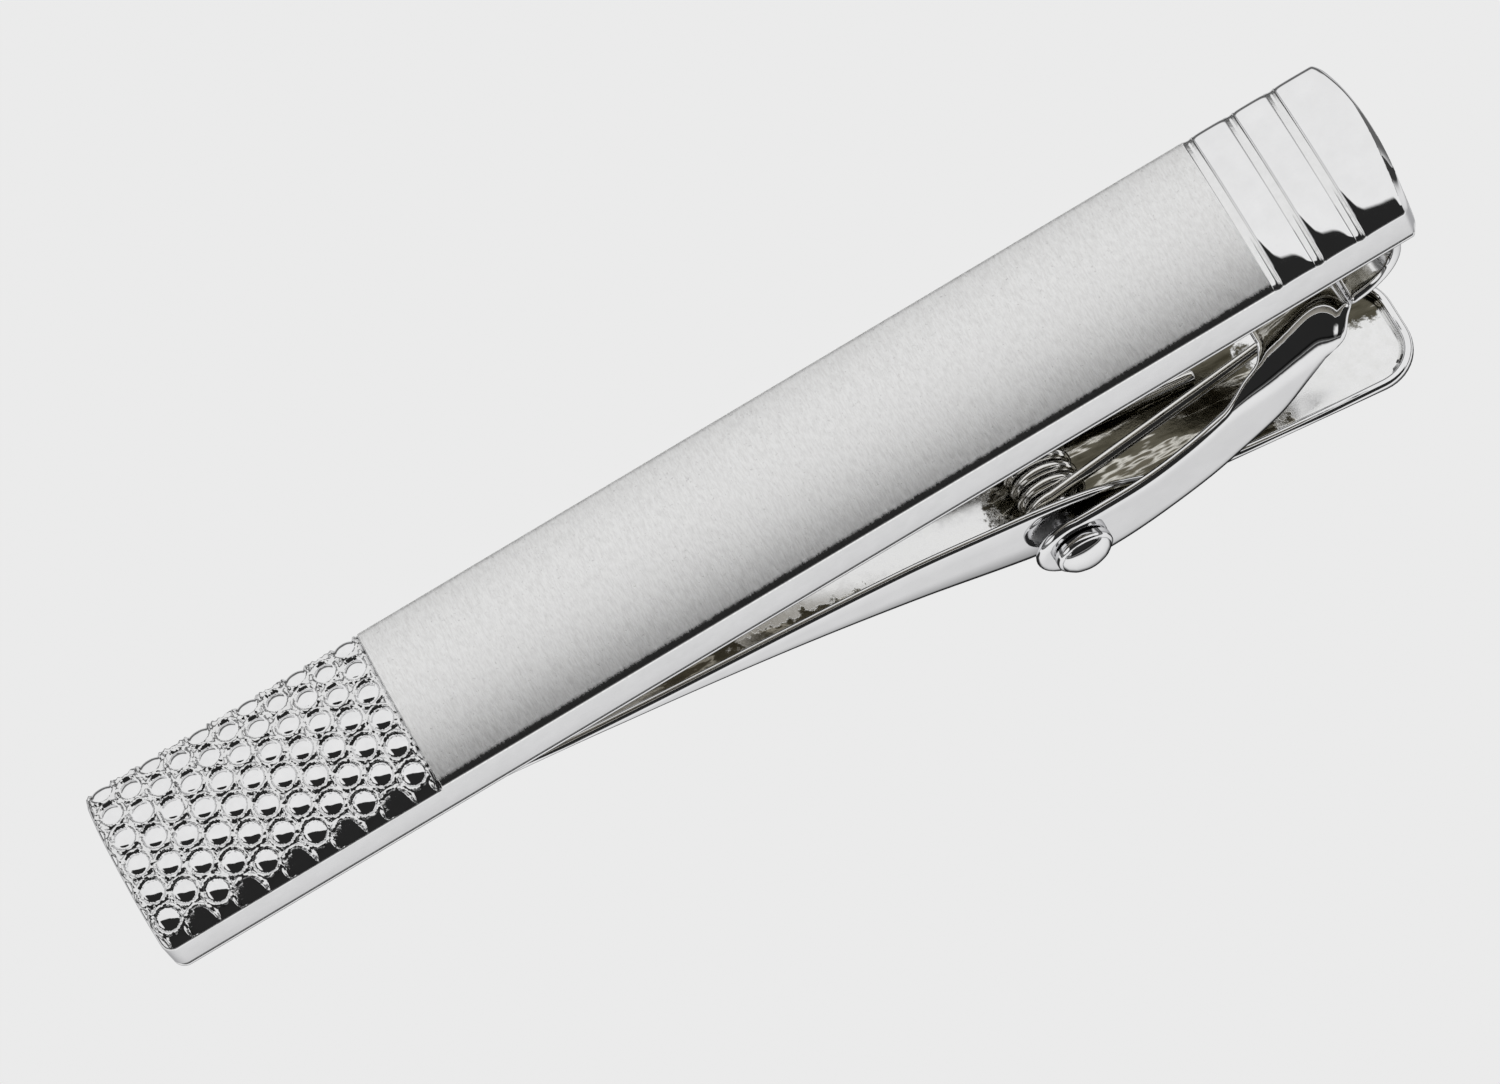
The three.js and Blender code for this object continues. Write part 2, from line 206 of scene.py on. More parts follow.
class Nodes:
    """A short way to write a material's nodes."""

    def __init__(self, tree):
        self.tree = tree
        tree.nodes.clear()

    def add(self, kind, links=None, **settings):
        """A node with its inputs linked. A setting named in_... is the value of an input."""
        node = self.tree.nodes.new("ShaderNode" + kind)
        for key, value in settings.items():
            if key.startswith("in_"):
                node.inputs[key[3:].replace("_", " ")].default_value = value
            else:
                setattr(node, key, value)
        for key, source in (links or {}).items():
            self.tree.links.new(source, node.inputs[key])
        return node

    def maths(self, operation, a, b=None, c=None):
        node = self.add("Math", operation=operation)
        for i, value in enumerate((a, b, c)):
            if value is None:
                continue
            if isinstance(value, (int, float)):
                node.inputs[i].default_value = value
            else:
                self.tree.links.new(value, node.inputs[i])
        return node.outputs[0]

    def ramp(self, source, stops):
        node = self.add("ValToRGB", {"Fac": source})
        elements = node.color_ramp.elements
        while len(elements) < len(stops):
            elements.new(0.5)
        for element, (place, colour) in zip(elements, stops):
            element.position = place
            element.color = (*colour, 1)
        return node.outputs["Color"]

    def fit(self, source, a, b, c, d):
        """A smooth change from c where the source is a, to d where it is b."""
        node = self.add("MapRange", {"Value": source}, interpolation_type="SMOOTHSTEP")
        for name, value in (("From Min", a), ("From Max", b), ("To Min", c), ("To Max", d)):
            node.inputs[name].default_value = value
        return node.outputs["Result"]

    def noise(self, place, scale, detail, roughness):
        node = self.add("TexNoise", {"Vector": place}, in_Scale=scale, in_Detail=detail,
                        in_Roughness=roughness)
        return node.outputs["Fac"]

    def stretched(self, place, scale):
        return self.add("Mapping", {"Vector": place}, in_Scale=scale).outputs["Vector"]

    def finish_metal(self, material, colour, roughness, bump, **settings):
        links = {"Base Color": colour, "Roughness": roughness, "Normal": bump.outputs["Normal"]}
        shader = self.add("BsdfPrincipled", links, in_Metallic=1.0, **settings)
        self.add("OutputMaterial", {"Surface": shader.outputs["BSDF"]})
        return material


def start_material(name):
    material = bpy.data.materials.new(name)
    material.use_nodes = True
    return material, Nodes(material.node_tree)


PLATE_EDGE_TINT = (0.45, 0.45, 0.46, 1)  # plate reflects less at a grazing angle


def metal(name, tint, gloss, grain, relief, mottle=600, stretch=(1, 1, 1), stain=None):
    """Bright metal: gloss is its (least, most) roughness, relief its bump in millimetres.

    grain and mottle are the scales of its fine and broad unevenness. stain tints its dark parts.
    """
    material, n = start_material(name)
    place = n.add("TexCoord").outputs["Object"]
    fine = n.noise(n.stretched(place, stretch), grain, 4, 0.6)
    broad = n.noise(place, mottle, 3, 0.55)
    mixed = n.maths("MULTIPLY_ADD", fine, 0.6, n.maths("MULTIPLY", broad, 0.4))
    roughness = n.fit(mixed, 0.3, 0.7, gloss[0], gloss[1])
    shaded_tint = tuple(c * 0.93 for c in tint)
    colour = n.ramp(mixed, [(0.3, stain or shaded_tint), (0.62, tint)])
    bump = n.add("Bump", {"Height": mixed}, in_Strength=1.0, in_Distance=relief * MM)
    return n.finish_metal(material, colour, roughness, bump, in_Specular_Tint=PLATE_EDGE_TINT)


def brushed_metal():
    """Satin plate brushed across the bar, with fine pits. Its lower roll is left polished."""
    grain_dark, grain_pale = (0.76, 0.755, 0.75), (0.98, 0.98, 0.975)
    satin_roughness, polished_roughness = (0.4, 0.5), 0.03
    roll_start, roll_end = -3.88 * MM, -3.6 * MM  # across the bar, where polish gives way to satin
    roll_wander = 0.26 * MM
    material, n = start_material("satin_brushed")
    place = n.add("TexCoord").outputs["Object"]
    scratch = n.noise(n.stretched(place, (1, 0.2, 0.2)), 14000, 3, 0.75)
    stroke = n.noise(n.stretched(place, (1, 0.32, 0.32)), 6400, 4, 0.65)
    grit = n.noise(place, 8000, 2, 0.6)
    pits = n.fit(grit, 0.66, 0.76, 0, 1)
    height = n.maths("MULTIPLY_ADD", scratch, 0.55, n.maths("MULTIPLY", stroke, 0.45))
    height = n.maths("MULTIPLY_ADD", pits, -0.4, height)
    pitted = n.maths("MULTIPLY_ADD", pits, -0.3, height)
    colour = n.ramp(pitted, [(0.3, grain_dark), (0.58, grain_pale)])
    y = n.add("SeparateXYZ", {"Vector": place}).outputs["Y"]
    wandering = n.maths("MULTIPLY_ADD", n.maths("SUBTRACT", scratch, 0.5), roll_wander, y)
    satin_share = n.fit(wandering, roll_start, roll_end, 0, 1)
    satin_part = n.fit(height, 0.3, 0.7, *satin_roughness)
    roughness = n.maths("MULTIPLY_ADD", satin_part, satin_share, polished_roughness)
    strength = n.maths("MULTIPLY_ADD", satin_share, 0.95, 0.05)
    bump = n.add("Bump", {"Height": height, "Strength": strength}, in_Distance=0.013 * MM)
    return n.finish_metal(material, colour, roughness, bump)


# Tints of the painted shade and reflections on the tumbled sheet, by how far the streaks go from
# dark to pale to dark again; the pale stop is a painted bright streak of reflection.
PAINTED_SHADE_TINTS = [(0.3, (0.05, 0.045, 0.03)), (0.5, (0.13, 0.12, 0.09)), (0.545, (0.75, 0.73, 0.67)),
         (0.58, (0.16, 0.145, 0.11)), (0.8, (0.06, 0.055, 0.04))]
TUMBLED_OWN_TONE = [(0.3, (0.84, 0.84, 0.83)), (0.6, (0.92, 0.92, 0.92))]
# Other places of painted shade and reflected shade. Each span, in millimetres, is where the painted
# shade sets in or dies out.
# painted shadow in the paddle's corner, under the bend
PADDLE_CORNER = {"across": (0.4, 0.8), "along": (24.4, 25)}
# painted reflection of the tray wall's shade, along the jaw's side
JAW_SIDE = {"across": (-1.3, -1.1), "rises": (-4, -2), "falls": (2.2, 3.4)}
JAW_THROAT = {"rises": (-9, -6.6), "falls": (-3.7, -3.1)}
PAINTED_SHADE_FADE = 0.5
WANDER_ALONG, WANDER_ACROSS = 4, 2.5  # how far the painted shade's border strays


def tumbled_metal_with_painted_shade(name, start, end, pale_gloss):
    """Tumbled sheet with painted shade and reflections, dark and streaky with painted bright
    streaks, between two places along the clip, pale beyond them.
    """
    material, n = start_material(name)
    place = n.add("TexCoord").outputs["Object"]
    parts = n.add("SeparateXYZ", {"Vector": place}).outputs
    mottle = n.noise(place, 1500, 5, 0.7)
    streak = n.noise(n.stretched(place, (0.12, 1, 1)), 1300, 3, 0.6)
    wander = n.maths("SUBTRACT", mottle, 0.5)
    along_clip = n.maths("MULTIPLY_ADD", wander, WANDER_ALONG * MM, parts["X"])
    across_clip = n.maths("MULTIPLY_ADD", wander, WANDER_ACROSS * MM, parts["Y"])

    def rises(value, span):
        return n.fit(value, span[0] * MM, span[1] * MM, 0, 1)

    def falls(value, span):
        return n.fit(value, span[0] * MM, span[1] * MM, 1, 0)

    def both(a, b):
        return n.maths("MULTIPLY", a, b)

    # painted shade and reflections of the mechanism's dark underside, between start and end
    main = both(rises(along_clip, (start, start + PAINTED_SHADE_FADE)),
                falls(along_clip, (end - PAINTED_SHADE_FADE, end)))
    corner = both(rises(across_clip, PADDLE_CORNER["across"]),
                  rises(along_clip, PADDLE_CORNER["along"]))
    side = both(rises(along_clip, JAW_SIDE["rises"]), falls(along_clip, JAW_SIDE["falls"]))
    side = both(falls(across_clip, JAW_SIDE["across"]), side)
    throat = both(falls(along_clip, JAW_THROAT["falls"]), rises(along_clip, JAW_THROAT["rises"]))
    # where the sheet is painted dark, with streaks of painted reflection
    painted_shade = n.maths("MAXIMUM", n.maths("MAXIMUM", main, throat), n.maths("MAXIMUM", corner, side))
    dark = n.ramp(streak, PAINTED_SHADE_TINTS)
    pale = n.ramp(mottle, TUMBLED_OWN_TONE)
    colour = n.add("MixRGB", {"Fac": painted_shade, "Color1": pale, "Color2": dark}).outputs["Color"]
    roughness = n.maths("ADD", n.fit(mottle, 0.3, 0.7, 0.08, 0.2),
                        n.fit(parts["X"], start * MM, (start + 1) * MM, pale_gloss, 0.0))
    relief = n.maths("MULTIPLY", mottle, n.maths("MULTIPLY_ADD", painted_shade, 0.9, 0.1))
    bump = n.add("Bump", {"Height": relief}, in_Strength=1.0, in_Distance=0.012 * MM)
    return n.finish_metal(material, colour, roughness, bump, in_Specular_Tint=PLATE_EDGE_TINT)


SILVER = (0.93, 0.93, 0.935)
satin = brushed_metal()
pebbled = metal("pebbled_plate", SILVER, (0.015, 0.06), grain=3000, relief=0.003, mottle=900)
polished = metal("polished_plate", SILVER, (0.01, 0.04), grain=900, relief=0.001, mottle=250)
web_metal = metal("web_cast", (0.88, 0.88, 0.88), (0.02, 0.07), grain=3800, relief=0.016,
                  mottle=2200)
groove_metal = metal("groove_cast", (0.9, 0.9, 0.9), (0.05, 0.14), grain=4200, relief=0.008,
                     mottle=1500)
back_metal = metal("back_plate", (0.42, 0.4, 0.36), (0.2, 0.36), grain=2400, relief=0.01,
                   mottle=500, stain=(0.26, 0.24, 0.2))
side_metal = metal("side_plate", SILVER, (0.05, 0.12), grain=1400, relief=0.001, mottle=300)
sheet_metal = metal("polished_sheet", SILVER, (0.015, 0.05), grain=700, relief=0.003, mottle=220)
# inner faces carry painted shade and reflections between these places along the clip
tray_inside = tumbled_metal_with_painted_shade("tray_inside", 8.4, 21.6, 0.0)
bracket_inside = tumbled_metal_with_painted_shade("bracket_inside", 10.8, 26, 0.3)
rivet_metal = metal("rivet_plate", SILVER, (0.015, 0.05), grain=1200, relief=0.002, mottle=400)
wire_metal = metal("spring_wire", (0.9, 0.89, 0.87), (0.06, 0.14), stretch=(0.15, 1, 1),
                   grain=3500, relief=0.0015, stain=(0.8, 0.79, 0.76))

# ---- Front bar ----

CROWN_HALF = 3.6  # half width of the crowned front, up to where it rolls over to the side wall
CROWN_RADIUS = 10.4
ROLL_DROP = 1.0
ROLL_PULLS = (0.24, 0.2)  # of the roll's curve, at the crown and at the wall
BACK_RADIUS = 0.22
BACK_ARC = 6  # points round each back edge
# Down the side wall and its seam: (inwards, above the back).
SEAM = [(0, 1.2), (0, 0.52), (0.005, 0.48), (0.07, 0.4), (0.005, 0.32), (0, 0.3)]
CORNER = 0.6  # radius of the bar's corners, seen from the front
CORNER_FROM = 1.8  # the corners draw in only what is further out than this
END_ROLL = 0.22
ROLL_REACH = -1.2  # height from which the whole end roll acts
BACK_SHARE = 0.6  # of the end roll that the back takes
BOW, BOW_HALF, BOW_REACH = 0.36, 3.4, 1.6  # the ribbed end curves back towards its sides

# The bevel of the ribbed end, by place across the bar.
BEVEL_SLOPE = [(-3.4, 1.0), (-1.7, 0.97), (0, 0.87), (3, 0.78)]
BEVEL_WIDTH = [(-3.4, 0.34), (-1.5, 0.28), (1, 0.15), (3, 0.06)]

PEBBLE_LENGTH = 13.35
PEBBLE_END = LEFT + PEBBLE_LENGTH
RECESS = 0.3
COLUMN_STEP, ROW_STEP = 1.171, 1.36
FIRST_COLUMN = LEFT + 0.87
COLUMN_SHIFTS = (-0.2, 0.475)  # of even and odd columns
DOME_RADIUS = 0.45
DOME_EDGE = 0.47  # faces nearer than this to a dome's centre take its smooth metal
DOME_HEIGHT = 0.088
DOME_GROWTH, DOME_LEAN = 0.03, 0.002  # gained by the panel, and for each millimetre downwards
LEAN_FROM = 2.6
DOME_TOP = 4  # no dome is centred above this
# The web of ridges rises and sinks again by distance from a cell's centre, round a moat.
WEB_HEIGHT, WEB_RISE, WEB_SINK, WEB_SUNK = 0.12, (0.48, 0.59), (0.63, 0.76), 0.9
WEB_LOWER, WEB_UPPER = (-3.74, -3.52), (4.3, 4.1)  # where it fades in, from either side wall
MOAT_DEPTH, MOAT_RADIUS, MOAT_WIDTH, MOAT_FADE = 0.03, 0.475, 0.035, (3.9, 3.6)
BORDER_TOP, BORDER_FOOT = -3.1, -4.05  # the row of empty cells along the lower edge
CUSP_HEIGHT, CUSP_TOP, CUSP_FADE = 0.11, -3.3, (-4.08, -3.9)
CUSP_PLACE, CUSP_HALF, CUSP_FLARE = 0.49, 0.03, 0.2  # from a dome's column, and its half width
WEDGE_HEIGHT, WEDGE_START, WEDGE_SLANT, WEDGE_END = 0.16, 0.05, 0.3, 0.6

GROOVES = (23.05, 25.02, 26.98)
GROOVE_SECTION = [(0, 0), (0.02, 0.03), (0.2, 0.112), (0.27, 0.125), (0.41, 0.055), (0.44, 0.02),
                  (0.48, 0)]  # (along the bar, depth)
GROOVE_WIDTH = GROOVE_SECTION[-1][0]
GROOVE_CAST = 0.46  # the length of it that takes the duller metal

# Tilt of a band's top in degrees, by distance from the band's start and from its end.
BAND_START_TILT = [(0, -24), (0.06, -18), (0.13, -11.5), (0.25, -4.5), (0.45, -1), (0.8, 0.2),
                   (1.15, 1.2), (3, 1.6)]
BAND_END_TILT = [(0, 18), (0.1, 9), (0.25, 3.5), (0.42, 1), (0.6, 0), (3, 0)]

BAR_METALS = [satin, pebbled, polished, side_metal, groove_metal, back_metal, web_metal]
SATIN, DOME, BAND, SIDE, GROOVE, BACK_FACE, PEBBLE_WEB = range(len(BAR_METALS))


def crown(y):
    return np.sqrt(CROWN_RADIUS**2 - np.clip(np.abs(y), 0, CROWN_HALF) ** 2) - CROWN_RADIUS


def front_section(count, roll_count):
    """The front from -y to +y: points (y, z), their distance over it from the middle, normals."""
    y = np.linspace(-CROWN_HALF, CROWN_HALF, count)
    flat = np.stack([y, crown(y)], 1)
    slope = math.asin(CROWN_HALF / CROWN_RADIUS)
    p0 = np.array([CROWN_HALF, crown(CROWN_HALF)])
    p1 = p0 + ROLL_PULLS[0] * np.array([math.cos(slope), -math.sin(slope)])
    p3 = np.array([HALF, -ROLL_DROP])
    p2 = p3 + np.array([0, ROLL_PULLS[1]])
    t = np.linspace(0, 1, roll_count + 1)[1:, None]
    roll = (1 - t) ** 3 * p0 + 3 * t * (1 - t) ** 2 * p1 + 3 * t * t * (1 - t) * p2 + t**3 * p3
    mirror = (roll * [-1, 1])[::-1]
    points = np.vstack([mirror, flat, roll])
    lengths = np.r_[0, np.cumsum(np.linalg.norm(np.diff(points, axis=0), axis=1))]
    v = lengths - np.interp(0, points[:, 0], lengths)
    tangent = np.gradient(points, axis=0)
    tangent /= np.linalg.norm(tangent, axis=1)[:, None]
    normal = np.stack([-tangent[:, 1], tangent[:, 0]], 1)
    return points, v, normal


def lumps(x, y, seed, size):
    """Small irregular waves between about -1 and 1."""
    rng = np.random.default_rng(seed)
    count = 14
    total = np.zeros_like(x)
    for _ in range(count):
        angle = rng.uniform(0, 2 * math.pi)
        length = size * rng.uniform(0.7, 1.5)
        phase = rng.uniform(0, 2 * math.pi)
        place = x * math.cos(angle) + y * math.sin(angle)
        total += np.cos(2 * math.pi / length * place + phase)
    return total / math.sqrt(2 * count)


def pebble_domes(x, v):
    """Height of the domes, and the distance to the nearest cell's centre."""
    rng = np.random.default_rng(7)
    domes = np.zeros_like(x)
    nearest = np.full(x.shape, 9.0)
    for column in range(-1, 13):
        cx = FIRST_COLUMN + column * COLUMN_STEP
        share = np.clip((cx - LEFT) / PEBBLE_LENGTH, 0, 1)
        for row in range(-4, 5):
            cy = COLUMN_SHIFTS[column % 2] + row * ROW_STEP
            distance = np.hypot(x - cx, v - cy)
            nearest = np.minimum(nearest, distance)
            wobble = rng.uniform(0.94, 1.06)
            if not BORDER_TOP < cy < DOME_TOP or column < 0:
                continue
            height = DOME_HEIGHT + DOME_GROWTH * share**1.4 + DOME_LEAN * (LEAN_FROM - cy)
            dome = height * wobble * (1 - np.clip(distance / DOME_RADIUS, 0, 1) ** 2.7)
            domes = np.maximum(domes, np.where(distance < DOME_RADIUS, dome, 0))
    return domes, nearest


def pebble_relief(x, v):
    """Height of the pebbled pattern over its recessed ground, and which points are smooth metal."""
    domes, nearest = pebble_domes(x, v)
    web = step(*WEB_RISE, nearest) * (1 - WEB_SUNK * step(*WEB_SINK, nearest))
    within = step(*WEB_LOWER, v) * step(*WEB_UPPER, v)
    uneven = 1 + 0.26 * lumps(x, v, 3, 0.34) + 0.16 * lumps(x, v, 5, 0.2)
    relief = domes + WEB_HEIGHT * web * within * uneven
    moat = np.exp(-(((nearest - MOAT_RADIUS) / MOAT_WIDTH) ** 2))
    relief -= MOAT_DEPTH * moat * step(*MOAT_FADE, np.abs(v))
    # cusps where the border's arches meet, running out to the wall
    phase = (x - FIRST_COLUMN) / (2 * COLUMN_STEP)
    from_dome = np.abs(phase - np.round(phase)) * 2 * COLUMN_STEP
    reach = np.clip((v - BORDER_FOOT) / 0.6, 0, 1)
    half = CUSP_HALF + CUSP_FLARE * reach
    cusp = np.clip(1 - np.abs(from_dome - CUSP_PLACE) / half, 0, 1)
    relief = np.maximum(relief, CUSP_HEIGHT * cusp * (v < CUSP_TOP) * step(*CUSP_FADE, v))
    # a slope at the left of each empty cell of the border
    left_side = np.where((phase - np.floor(phase)) < 0.5, COLUMN_STEP - from_dome, -1)
    low = np.clip((BORDER_TOP - v) / 0.9, 0, 1)
    wedge = np.clip((left_side - WEDGE_START - WEDGE_SLANT * low) / 0.45, 0, 1)
    wedge = wedge * (left_side < WEDGE_END)
    in_border = (v < BORDER_TOP) & (v > BORDER_FOOT)
    relief = np.maximum(relief, WEDGE_HEIGHT * wedge * in_border)
    return np.where(domes > 0, domes, relief), nearest < DOME_EDGE


def band_curve(width, last):
    """A band's pillowed top as (distance along it, depth), from its tilts."""
    place = np.linspace(0, width, 120)
    tilt = np.interp(place, *zip(*BAND_START_TILT))
    if not last:
        tilt += np.interp(width - place, *zip(*BAND_END_TILT))
    fall = np.tan(np.radians(tilt)) * (place[1] - place[0])
    depth = np.r_[0, np.cumsum(0.5 * (fall[1:] + fall[:-1]))]
    return place, depth - depth.min()


def groove_profile(x):
    """Height of the grooves, and of the pillowed bands between them, against the crown."""
    depth = np.zeros_like(x)
    for start, band_end in zip(GROOVES, [*GROOVES[1:], RIGHT]):
        depth = np.maximum(depth, np.interp(x - start, *zip(*GROOVE_SECTION)))
        place = x - start - GROOVE_WIDTH
        band = np.interp(place, *band_curve(band_end - start - GROOVE_WIDTH, band_end == RIGHT))
        on_band = (place > 0) & (x <= band_end)
        depth = np.where(on_band, np.maximum(depth, band), depth)
    return -depth


def bar_stations():
    """Places along the bar, close together where its front has relief."""
    spans = [(LEFT, 0.03), (LEFT + END_ROLL, 0.045)]
    spans += [(PEBBLE_END - 0.2, 0.02), (PEBBLE_END + 0.15, 1.2)]
    for groove, band_step in zip(GROOVES, (0.06, 0.06, 0.1)):
        spans += [(groove - 0.04, 0.018), (groove + 0.6, 0.04), (groove + 1.3, band_step)]
    spans.append((RIGHT - 0.36, 0.02))
    ends = [start for start, _ in spans[1:]] + [RIGHT]
    parts = []
    for (start, largest_step), end in zip(spans, ends):
        count = math.ceil((end - start) / largest_step)
        parts.append(np.linspace(start, end, count + 1)[:-1])
    return np.r_[tuple(parts) + (RIGHT,)]


def bar_section(stations):
    """The bar's straight outline at each station as y and z, and the front's smooth points."""
    points, v, normal = front_section(160, 14)
    rows, front = len(stations), len(points)
    x = np.repeat(stations[:, None], front, 1)
    spread = np.repeat(v[None, :], rows, 0)
    ground = -RECESS * (1 - step(PEBBLE_END - 0.12, PEBBLE_END + 0.03, x))
    # the pattern fades out at the step up to the panel and at the end roll
    in_pebbles = 1 - step(PEBBLE_END - 0.16, PEBBLE_END - 0.02, x)
    from_left = step(LEFT + 0.02, LEFT + 0.2, x)
    relief, smooth = pebble_relief(x, spread)
    relief = relief * in_pebbles * from_left
    y = points[None, :, 0] + relief * normal[None, :, 0]
    z = points[None, :, 1] + relief * normal[None, :, 1] + (ground + groove_profile(x))
    # the rest of the way round: down one side, across the back, up the other side
    arc = np.linspace(0, math.pi / 2, BACK_ARC)
    wall = [(HALF - inset, BACK + up) for inset, up in SEAM]
    for a in arc:
        wall.append((HALF - BACK_RADIUS + BACK_RADIUS * math.cos(a),
                     BACK + BACK_RADIUS - BACK_RADIUS * math.sin(a)))
    wall_y, wall_z = (np.repeat([values], rows, 0) for values in zip(*wall))
    back_y = np.linspace(HALF - BACK_RADIUS, -(HALF - BACK_RADIUS), 9)[1:-1]
    back_y = np.repeat(back_y[None, :], rows, 0)
    y = np.hstack([y, wall_y, back_y, -wall_y[:, ::-1]])
    z = np.hstack([z, wall_z, np.full(back_y.shape, BACK), wall_z[:, ::-1]])
    return y, z, smooth


def bar_metal_of_faces(stations, smooth, around):
    """Which of the bar's metals each face takes."""
    front_faces = smooth.shape[1] - 1
    on_front = slice(front_faces)
    kind = np.full((len(stations) - 1, around), SIDE)
    for i, middle in enumerate(0.5 * (stations[:-1] + stations[1:])):
        if middle < PEBBLE_END - 0.02:
            kind[i, on_front] = np.where(smooth[i, on_front], DOME, PEBBLE_WEB)
        elif middle < GROOVES[0]:
            kind[i, on_front] = SATIN
        else:
            cut = any(start < middle < start + GROOVE_CAST for start in GROOVES)
            kind[i, on_front] = GROOVE if cut else BAND
    wall_points = len(SEAM) + BACK_ARC
    kind[:, front_faces + wall_points : around - wall_points] = BACK_FACE
    return kind.reshape(-1).tolist()


def make_bar():
    stations = bar_stations()
    y, z, smooth = bar_section(stations)
    rows, around = y.shape
    x = np.repeat(stations[:, None], around, 1)
    # corners seen from the front, and the bowed ribbed end
    from_end = np.minimum(x - LEFT, RIGHT - x)
    inside = np.clip(CORNER - from_end, 0, CORNER)
    pulled = CORNER - np.sqrt(CORNER**2 - inside**2)
    y = y - np.sign(y) * pulled * step(CORNER_FROM, HALF, np.abs(y))
    bow = BOW * np.clip(np.abs(y) / BOW_HALF, 0, 1.1) ** 2
    x = x - bow * step(RIGHT - BOW_REACH, RIGHT, x) ** 2
    # rolled ends, and the bevel of the ribbed one
    rolled = np.clip(END_ROLL - from_end, 0, END_ROLL)
    drop = END_ROLL - np.sqrt(END_ROLL**2 - rolled**2)
    bevel = np.interp(y, *zip(*BEVEL_WIDTH)) - (RIGHT - stations[:, None])
    drop = np.maximum(drop, np.interp(y, *zip(*BEVEL_SLOPE)) * np.clip(bevel, 0, None))
    z = z - drop * step(BACK / 2, ROLL_REACH, z)
    z = z + BACK_SHARE * drop * step(BACK / 2, BACK, z)
    verts = np.stack([x, y, z], -1).reshape(-1, 3)
    loops = grid_faces(rows, around, closed=True)[:, ::-1].tolist()
    kinds = bar_metal_of_faces(stations, smooth, around)
    loops.append(list(range(around)))
    loops.append([(rows - 1) * around + i for i in range(around)][::-1])
    kinds += [SIDE, SIDE]
    piece = mesh_piece("tie_bar", verts, loops, BAR_METALS, kinds, smooth_angle=38)
    settle(piece, "bar", "front_bar")


# ---- Hinge bracket ----

SHEET = 0.5
WEB = 5.81  # depth of the web's middle plane
WINDOW, WINDOW_HALF = 21.65, 1.9  # the web's straight edge between the ears
NECK = 2.5  # half width of the bend and the tab
BEND_X = 25.9
BEND_RADIUS = 2.75
EAR_RADIUS = 2.0
TAB_START = 13.5
PIN_DEPTH = BACK - PIN_Z

# By place along the clip: the saddle's half width and shoulder radius, and the depth of each edge
# of an ear.
ear_half = [(9, 3.55), (18, 3.55), (21, 3.45), (23, 3.15), (25, 2.85), (26.5, 2.7)]
ear_shoulder = [(9, 1.0), (19, 1.0), (22, 1.15), (24, 1.6), (26.5, 2.2)]
ear_rim = [(11.4, 7.98), (12.6, 8.05), (14.9, 7.95), (17.1, 7.35), (19.0, 6.5)]
ear_foot = [(11.4, 11.9), (13.2, 11.85), (15.0, 11.55), (17.4, 10.9), (19.4, 10.05), (21.2, 9.3),
            (22.7, 8.45), (23.9, 7.7)]
FOOT_DENSE = 19.6  # from here on the foot's points lie closer

# From the ears on, both edges run over the saddle: (along the clip, distance from its centre line).
window_lip = [(20.3, 2.98), (21.25, 2.55), (WINDOW, WINDOW_HALF)]
neck_side = [(24.8, 3.9), (25.5, 2.9), (BEND_X, NECK)]


def across(x, depth):
    """Distance over the saddle from its centre line to where it reaches this depth."""
    half, radius = along(ear_half, x), along(ear_shoulder, x)
    over = np.clip((depth - WEB) / radius, 0, None)
    turned = np.arccos(np.clip(1 - over, 0, 1))
    return half - radius + radius * turned + np.clip(depth - WEB - radius, 0, None)


def saddle(x, a):
    """The saddle's middle plane: a point at x, a from the centre line over the shoulder."""
    half, radius = along(ear_half, x), along(ear_shoulder, x)
    size = np.abs(a)
    turned = np.clip((size - (half - radius)) / radius, 0, math.pi / 2)
    straight = np.clip(size - (half - radius) - radius * math.pi / 2, 0, None)
    y = np.minimum(size, half - radius) + radius * np.sin(turned)
    depth = WEB + radius * (1 - np.cos(turned)) + straight
    flat = step(23.8, BEND_X + 0.2, x)
    y = y * (1 - flat) + size * flat
    depth = depth * (1 - flat) + WEB * flat
    return np.stack([x, np.sign(a) * y, z_at(depth)], -1)


def bracket_edges():
    """The two edges of one half of the saddle, with as many points on each."""
    turn = np.linspace(0, math.pi / 2, 12)
    round_x = PIN_X - EAR_RADIUS * np.cos(turn)
    round_up = EAR_RADIUS * np.sin(turn)
    rim = [(x, across(x, PIN_DEPTH - up)) for x, up in zip(round_x, round_up)]
    rim_x = np.linspace(ear_rim[0][0], ear_rim[-1][0], 34)
    rim += [(x, across(x, along(ear_rim, x))) for x in rim_x]
    lip = dense([rim[-1], *window_lip], 14)[1:]
    edge = np.stack([np.full(9, WINDOW), np.linspace(WINDOW_HALF, 0, 9)], 1)[1:]
    centre = np.stack([np.linspace(WINDOW, BEND_X, 20), np.zeros(20)], 1)[1:]
    inner = np.vstack([rim, lip, edge, centre])
    foot = [(x, across(x, PIN_DEPTH + up)) for x, up in zip(round_x, round_up)]
    foot_x = np.r_[np.linspace(ear_foot[0][0], FOOT_DENSE, 34),
                   np.linspace(FOOT_DENSE, ear_foot[-1][0], 24)[1:]]
    foot += [(x, across(x, along(ear_foot, x))) for x in foot_x]
    left = len(inner) - len(foot)
    return inner, np.vstack([foot, dense([foot[-1], *neck_side], left + 1)[1:]])


